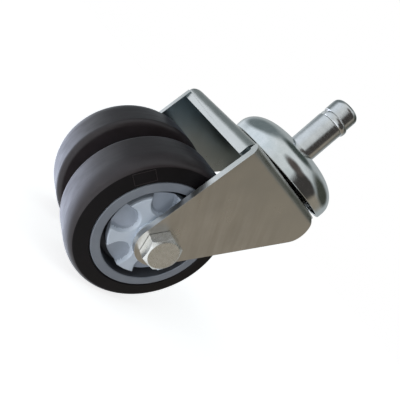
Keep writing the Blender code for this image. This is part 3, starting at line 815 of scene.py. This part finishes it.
def lip_outline():
    """Front view of the lip as (y, z) points: free at its near end, joined to the far leg."""
    foot = PLATE_TOP - LIP_HEIGHT
    bend_at = (FORK_OUT - BEND, PLATE_TOP - BEND)
    return rounded(
        [
            (LIP_NEAR_END, foot, LIP_CORNER),
            (bend_at[0] + BEND * cos(LIP_JOIN), foot, 0),
            *sharp(arc(bend_at, BEND, LIP_JOIN, pi / 2, 4)),
            (LIP_NEAR_END, PLATE_TOP, 0),
        ]
    )


def corner_waste():
    """What lies outside the lip's bend, as (x, z) points, to round the far leg's front corner."""
    centre = (FORK_FRONT + BEND, PLATE_TOP - BEND)
    return [
        (FORK_FRONT - MM, PLATE_TOP + MM),
        (FORK_FRONT - MM, PLATE_TOP - BEND),
        *arc(centre, BEND, pi, pi / 2, 10),
        (FORK_FRONT + BEND, PLATE_TOP + MM),
    ]


def fork_mesh():
    """Plate and legs cut from the bent section, notched, with the front lip added."""
    front = AXLE.x - 2 * LEG_END_RADIUS
    side = belt_outline(
        [
            (LEG_REAR_X, PLATE_TOP - LEG_REAR_RADIUS + GAP, LEG_REAR_RADIUS),
            (FORK_FRONT, PLATE_TOP + GAP, 0),
            (AXLE.x, AXLE.z, LEG_END_RADIUS),
        ]
    )
    foot = AXLE.z - 2 * LEG_END_RADIUS
    bent_sheet = prism("blank", fork_section(foot), front, PLATE_REAR + MM)
    blank = solid("blank", bent_sheet, rotation=ALONG_X)
    side_prism = prism("outline", side, -2 * FORK_OUT, 2 * FORK_OUT)
    outline = solid("outline", side_prism, rotation=TOWARDS_NEAR)
    plate_rear = prism(
        "plate_rear",
        circle(PLATE_REAR, SEGMENTS),
        PLATE_TOP - SHEET - GAP,
        PLATE_TOP + 2 * GAP,
    )
    outline_mesh = shape(outline, ("UNION", solid("plate_rear", plate_rear)))
    notch_corners = [
        (front, LIP_NEAR_END - NOTCH_WIDTH, 0),
        (FORK_FRONT + NOTCH_DEPTH, LIP_NEAR_END - NOTCH_WIDTH, NOTCH_CORNER),
        (FORK_FRONT + NOTCH_DEPTH, FORK_OUT - BEND, 0),
        (front, FORK_OUT - BEND, 0),
    ]
    notch = prism("notch", rounded(notch_corners), PLATE_TOP - SHEET - BEND, PLATE_TOP + SHEET)
    lip_prism = prism("lip", lip_section(), -FORK_OUT, FORK_OUT)
    lip = solid("lip", lip_prism, rotation=TOWARDS_NEAR)
    lip_front = prism("lip_front", lip_outline(), FORK_FRONT - MM, 0)
    lip_mesh = shape(lip, ("INTERSECT", solid("lip_front", lip_front, rotation=ALONG_X)))
    waste = prism("corner_waste", corner_waste(), -FORK_OUT - MM, BEND - FORK_OUT)
    pin_hole = ring_blank("pin_hole", FORK_PIN_HOLE, PLATE_TOP - SHEET - MM, PLATE_TOP + MM)
    axle_hole = ring_blank("axle_hole", BOLT_RADIUS + GAP, -2 * FORK_OUT, 2 * FORK_OUT)
    return shape(
        blank,
        ("INTERSECT", solid("outline", outline_mesh)),
        ("DIFFERENCE", solid("notch", notch)),
        ("DIFFERENCE", solid("corner_waste", waste, rotation=TOWARDS_NEAR)),
        ("UNION", solid("lip", lip_mesh)),
        ("DIFFERENCE", solid("pin_hole", pin_hole)),
        ("DIFFERENCE", solid("axle_hole", axle_hole, AXLE, TOWARDS_NEAR)),
    )


def ring_blank(name, radius, low, high):
    return turned(name, [(0, low), (radius, low), (radius, high), (0, high)], SMALL_SEGMENTS)


def show_fork():
    """The fork, with painted shade: darker, bluish zinc inside the legs and under the plate."""
    mesh = fork_mesh()
    # Painted shade: faces turned in between the legs or down under the plate take the darker zinc
    # copy.
    for face in mesh.polygons:
        inwards = -copysign(1, face.center.y) * face.normal.y
        if inwards > 0.5 or face.normal.z < -0.9:
            face.material_index = 1
    stand_in("fork", mesh, [SHEET_ZINC, SHADED_INNER_ZINC], edge=SHEET_EDGE)


def hex_block(name, seat, out, both_ends):
    """Hexagonal block along Z with the corners of its outer end, or both ends, turned off."""
    corner_radius = HEX_ACROSS_FLATS / sqrt(3) + MM
    slope = (corner_radius - HEAD_FACE_RADIUS) * tan(HEAD_SLOPE)
    seat_end = [(corner_radius, seat)]
    if both_ends:
        seat_end = [(HEAD_FACE_RADIUS, seat), (corner_radius, seat + slope)]
    outer_end = [(corner_radius, out - slope), (HEAD_FACE_RADIUS, out)]
    profile = [(0, seat), *seat_end, *outer_end, (0, out)]
    turning = turned(name, profile, SMALL_SEGMENTS)
    blank = solid(name, prism(name, hexagon(HEX_ACROSS_FLATS, HEX_TURN), seat - MM, out + MM))
    return shape(blank, ("INTERSECT", solid(name + "_turning", turning)))


def threaded(seat, end):
    """Profile of a shank from its head down to its threaded, chamfered end, towards -Z."""
    crest = BOLT_RADIUS
    root = BOLT_RADIUS - THREAD_DEPTH
    reach = THREAD_PITCH / 2 - THREAD_FLAT
    ridges = []
    for k in range(THREAD_TURNS):
        height = end + BOLT_POINT + (k + 0.5) * THREAD_PITCH
        ridges += [(root, height - reach), (crest, height - THREAD_FLAT)]
        ridges += [(crest, height + THREAD_FLAT), (root, height + reach)]
    plain = end + BOLT_POINT + THREAD_TURNS * THREAD_PITCH + GAP
    point = (root - BOLT_POINT_STEP, end)
    return [(0, end), point, *ridges, (crest, plain), (crest, seat), (0, seat)]


def show_axle_bolt():
    """Hexagon-head bolt with a plain head and a threaded far end."""
    seat = FORK_OUT + RUNNING_GAP
    head = solid("head", hex_block("head", seat, BOLT_OUT, both_ends=False))
    shank = turned("shank", threaded(seat + GAP, -BOLT_END), SMALL_SEGMENTS)
    mesh = shape(head, ("UNION", solid("shank", shank)))
    stand_in("axle_bolt", mesh, [FASTENER_ZINC], AXLE, TOWARDS_NEAR, HEAD_EDGE)


def show_axle_nut():
    """Lock nut: hexagon, rolled collar and bore."""
    hex_top = NUT_OUT - NUT_COLLAR_HEIGHT
    body = solid("nut", hex_block("nut", NUT_SEAT, hex_top, both_ends=True))
    collar_corners = [
        (0, hex_top - NUT_COLLAR_WALL, 0),
        (NUT_COLLAR_RADIUS, hex_top - NUT_COLLAR_WALL, 0),
        (NUT_COLLAR_RADIUS, NUT_OUT, NUT_COLLAR_ROUND),
        (0, NUT_OUT, 0),
    ]
    collar = turned("collar", rounded(collar_corners, 6), SMALL_SEGMENTS)
    recess = NUT_COLLAR_RADIUS - NUT_COLLAR_WALL
    bore_radius = BOLT_RADIUS + GAP
    bore_profile = [
        (0, NUT_SEAT - MM),
        (bore_radius, NUT_SEAT - MM),
        (bore_radius, hex_top),
        (recess, hex_top),
        (recess, NUT_OUT + MM),
        (0, NUT_OUT + MM),
    ]
    bore = turned("bore", bore_profile, SMALL_SEGMENTS)
    mesh = shape(body, ("UNION", solid("collar", collar)), ("DIFFERENCE", solid("bore", bore)))
    stand_in("axle_nut", mesh, [FASTENER_ZINC], AXLE, TOWARDS_FAR, NUT_EDGE)


def show_ring(node, inner, material, rotation):
    """A ring on the axle, its outside taken from the CAD node's box."""
    low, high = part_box(node)
    outer = (high.z - low.z) / 2
    flip = 1 if rotation == TOWARDS_FAR else -1
    ends = sorted((flip * low.y, flip * high.y))
    mesh = ring(node, inner, outer, *ends)
    stand_in(node, mesh, [material], AXLE, rotation)


def show_axle_rings():
    bolt_bore = BOLT_RADIUS + GAP
    sleeve_bore = highest("axle_sleeve").z - AXLE.z + GAP
    bush_bore = sleeve_bore - RUNNING_GAP
    show_ring("nut_washer", bolt_bore, FASTENER_ZINC, TOWARDS_FAR)
    show_ring("nut_insert", bolt_bore - RUNNING_GAP, INSERT_NYLON, TOWARDS_FAR)
    show_ring("axle_sleeve", bolt_bore, BEARING_STEEL, TOWARDS_NEAR)
    show_ring("wheel_spacer", sleeve_bore, NYLON, TOWARDS_NEAR)
    show_ring("near_side_washer", sleeve_bore, NYLON, TOWARDS_NEAR)
    show_ring("far_side_washer", sleeve_bore, NYLON, TOWARDS_FAR)
    show_ring("near_wheel_bush", bush_bore, NYLON, TOWARDS_NEAR)
    show_ring("far_wheel_bush", bush_bore, NYLON, TOWARDS_FAR)


def show_rivet_washer():
    low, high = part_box("rivet_washer")
    mesh = ring("rivet_washer", PIN_HOLE_RADIUS, high.x, low.z, high.z)
    stand_in("rivet_washer", mesh, [FASTENER_ZINC])


def show_tyre(side, rotation):
    """Round inner edge, flat tread, long shoulder, then a crisp step to the sidewall."""
    shoulder = (WHEEL_RADIUS - SIDEWALL_RADIUS, SIDEWALL_OUT - TREAD_OUT)
    round_at = (WHEEL_RADIUS - TREAD_IN_ROUND, TYRE_IN + TREAD_IN_ROUND)
    profile = [
        (TYRE_BORE, TYRE_IN),
        *arc(round_at, TREAD_IN_ROUND, -pi / 2, 0, 8),
        *arc((SIDEWALL_RADIUS, TREAD_OUT), shoulder, 0, pi / 2, 14),
        (SIDEWALL_RADIUS - TYRE_STEP, SIDEWALL_OUT + TYRE_LEAN),
        (TYRE_BORE + TYRE_BORE_ROUND, TYRE_OUT),
        (TYRE_BORE, TYRE_OUT - TYRE_STEP),
    ]
    mesh = turned(side + "_tyre", profile, WHEEL_SEGMENTS)
    for face in mesh.polygons:
        if face.center.z > SIDEWALL_OUT - TYRE_STEP / 3:
            face.material_index = 1
    materials = [TREAD_RUBBER, SIDEWALL_RUBBER]
    stand_in(side + "_tyre", mesh, materials, AXLE, rotation)


def show_panel(side, rotation, turn):
    """Empty rectangular frame moulded a hair proud of the sidewall."""
    slope = (TYRE_OUT - SIDEWALL_OUT) / (TYRE_BORE - SIDEWALL_RADIUS)
    bm = bmesh.new()
    loops = []
    rises = (-PANEL_RISE, PANEL_RISE, PANEL_RISE, -PANEL_RISE)
    insets = (0, 0, PANEL_LINE, PANEL_LINE)
    for inset, rise in zip(insets, rises):
        along = PANEL_LENGTH / 2 - inset
        across = PANEL_WIDTH / 2 - inset
        corners = []
        for x, y in ((across, along), (-across, along), (-across, -along), (across, -along)):
            radius = hypot(PANEL_RADIUS + x, y)
            height = SIDEWALL_OUT + slope * (radius - SIDEWALL_RADIUS) + rise
            corners.append(bm.verts.new((PANEL_RADIUS + x, y, height)))
        loops.append(corners)
    for loop, following in zip(loops, loops[1:] + loops[:1]):
        for i in range(4):
            j = (i + 1) % 4
            bm.faces.new((loop[i], loop[j], following[j], following[i]))
    mesh = to_mesh(bm, side + "_tyre_panel")
    mesh.transform(Matrix.Rotation(turn, 4, "Z"))
    mesh.materials.append(TREAD_RUBBER)
    panel = solid(side + "_tyre_panel", mesh, AXLE, rotation)
    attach(panel, side + "_wheel")


def pocket_surface(radius, angle):
    """Height of the hub disc at a place: the disc's face, or lower inside a pocket."""
    pitch = tau / POCKETS
    offset = (angle - POCKET_TURN + pitch / 2) % pitch - pitch / 2
    along = radius * cos(offset)
    across = radius * sin(offset)
    beyond = max(POCKET_ROUND_AT - along, 0)
    inside = POCKET_ROUND - hypot(beyond, across)
    depth = min(max(inside / (2 * POCKET_SLOPE) + 0.5, 0), 1)
    outwards = (radius - BOSS_RADIUS) / (DISC_RADIUS - BOSS_RADIUS)
    floor = POCKET_FLOOR_IN + outwards * (POCKET_FLOOR_OUT - POCKET_FLOOR_IN)
    return DISC_OUT - depth * (DISC_OUT - floor)


def even_steps(first, last, step):
    count = ceil(abs(last - first) / step)
    return [first + (last - first) * k / count for k in range(count + 1)]


def show_wheel_core(side, rotation):
    """Rim ring, deep groove, hub disc with six pockets pressed into its grid, hub and boss."""
    edge = CORE_EDGE
    bore = BUSH_RADIUS + GAP
    disc_wall = even_steps(GROOVE_FLOOR, DISC_OUT - edge, GRID_STEP)
    disc_face = even_steps(DISC_RADIUS - edge, BOSS_RADIUS + edge, GRID_STEP)
    rim_in = TYRE_IN + GAP
    corners = [
        (RIM_RADIUS, rim_in, 0),
        (RIM_RADIUS, TYRE_OUT, edge),
        (RIM_BORE, TYRE_OUT, edge),
        (RIM_BORE, GROOVE_FLOOR, edge),
        *[(DISC_RADIUS, height, 0) for height in disc_wall],
        *sharp(arc((DISC_RADIUS - edge, DISC_OUT - edge), edge, radians(20), radians(70), 3)),
        *[(radius, DISC_OUT, 0) for radius in disc_face],
        (BOSS_RADIUS, DISC_OUT, 0),
        (BOSS_RADIUS, BOSS_OUT, edge),
        (bore, BOSS_OUT, BORE_EDGE),
        (bore, HUB_IN, 0),
        (HUB_RADIUS, HUB_IN, edge),
        (HUB_RADIUS, WEB_IN, 4 * edge),
        (RIM_BORE + edge, WEB_IN, 4 * edge),
        (RIM_BORE + edge, rim_in, 0),
    ]
    mesh = turned(side + "_core", rounded(corners, 3), WHEEL_SEGMENTS)
    for vertex in mesh.vertices:
        radius = hypot(vertex.co.x, vertex.co.y)
        if BOSS_RADIUS + edge < radius < DISC_RADIUS + edge and vertex.co.z > GROOVE_FLOOR:
            surface = pocket_surface(radius, atan2(vertex.co.y, vertex.co.x))
            vertex.co.z = min(vertex.co.z, surface)
    mesh.set_sharp_from_angle(angle=CORE_SHARP_ANGLE)
    for face in mesh.polygons:
        radius = hypot(face.center.x, face.center.y)
        in_groove = DISC_RADIUS - edge < radius < RIM_BORE + edge
        # Painted shade: the groove's faces get the near-black plastic.
        if in_groove and face.center.z < POCKET_FLOOR_OUT - edge:
            face.material_index = 2
        # Painted shade: the pocket floors get the darker pocket plastic.
        elif radius < DISC_RADIUS and WEB_IN < face.center.z < POCKET_FLOOR_IN + edge:
            face.material_index = 3
        elif radius < DISC_RADIUS + edge:
            face.material_index = 1
    materials = [RIM_PLASTIC, HUB_PLASTIC, GROOVE_SHADE_PLASTIC, POCKET_SHADE_PLASTIC]
    stand_in(side + "_wheel_core", mesh, materials, AXLE, rotation)


def show_wheel(side, rotation, panel_turn):
    show_tyre(side, rotation)
    show_panel(side, rotation, panel_turn)
    show_wheel_core(side, rotation)


# Studio


def soft_patch(tree, direction, colour_so_far, patch_colour, towards, inner, outer):
    """Blend a soft patch of colour into the surroundings, centred on one direction."""
    aim = tuple(Vector(towards).normalized())
    dot = add_node(tree, "ShaderNodeVectorMath", {0: direction, 1: aim}, operation="DOT_PRODUCT")
    nearness = spread(tree, dot.outputs["Value"], cos(radians(outer)), cos(radians(inner)), 0, 1)
    return blend(tree, nearness, colour_so_far, patch_colour)


def light_surroundings():
    """Soft patches of light for the metal to mirror; the camera itself sees plain white."""
    world = bpy.data.worlds.new("studio")
    world.use_nodes = True
    bpy.context.scene.world = world
    tree = world.node_tree
    direction = tree.nodes.new("ShaderNodeTexCoord").outputs["Generated"]
    colour = SURROUNDINGS
    for patch_colour, towards, inner, outer in PATCHES:
        colour = soft_patch(tree, direction, colour, patch_colour, towards, inner, outer)
    background = tree.nodes["Background"]
    tree.links.new(colour, background.inputs["Color"])
    backdrop = add_node(tree, "ShaderNodeBackground", {"Color": (1, 1, 1, 1)})
    seen = tree.nodes.new("ShaderNodeLightPath").outputs["Is Camera Ray"]
    mix = add_node(tree, "ShaderNodeMixShader", {0: seen, 1: background.outputs[0]})
    tree.links.new(backdrop.outputs[0], mix.inputs[2])
    tree.links.new(mix.outputs[0], tree.nodes["World Output"].inputs["Surface"])


def add_softbox(name, location, size, power):
    """Soft square light, aimed at the caster, that isn't mirrored in its metal."""
    light = bpy.data.lights.new(name, "AREA")
    light.shape = "SQUARE"
    light.size = size
    light.energy = power
    box = bpy.data.objects.new(name, light)
    box.location = location
    aim = LIT_PLACE - Vector(location)
    box.rotation_euler = aim.to_track_quat("-Z", "Y").to_euler()
    box.visible_glossy = False
    bpy.context.scene.collection.objects.link(box)


def add_floor():
    """Round pale floor under the wheels."""
    height = lowest("near_tyre").z
    outline = circle(FLOOR_RADIUS, FLOOR_SEGMENTS)
    mesh = prism("floor", outline, height - FLOOR_THICKNESS, height)
    mesh.materials.append(floor_paint())
    floor = solid("floor", mesh)
    floor.visible_glossy = False
    floor.visible_diffuse = False


def place_camera():
    camera = bpy.data.cameras.new("camera")
    camera.lens = CAMERA_LENS_MM
    camera.clip_start = 0.005
    stand = bpy.data.objects.new("camera", camera)
    forward = Vector(
        (
            cos(CAMERA_AZIMUTH) * cos(CAMERA_ELEVATION),
            sin(CAMERA_AZIMUTH) * cos(CAMERA_ELEVATION),
            sin(CAMERA_ELEVATION),
        )
    )
    aim = forward.to_track_quat("-Z", "Y").to_matrix().to_4x4()
    turn = aim @ Matrix.Rotation(CAMERA_ROLL, 4, "Z")
    stand.matrix_world = Matrix.Translation(CAMERA_AT) @ turn
    bpy.context.scene.collection.objects.link(stand)
    bpy.context.scene.camera = stand


show_stem()
show_grip_ring()
show_swivel_cap()
show_races()
show_rivet_washer()
show_balls()
show_fork()
show_axle_bolt()
show_axle_nut()
show_axle_rings()
show_wheel("near", TOWARDS_NEAR, PANEL_AT)
show_wheel("far", TOWARDS_FAR, -PANEL_AT)
light_surroundings()
for light in LIGHTS:
    add_softbox(*light)
add_floor()
place_camera()
bpy.context.scene.view_settings.view_transform = "Standard"
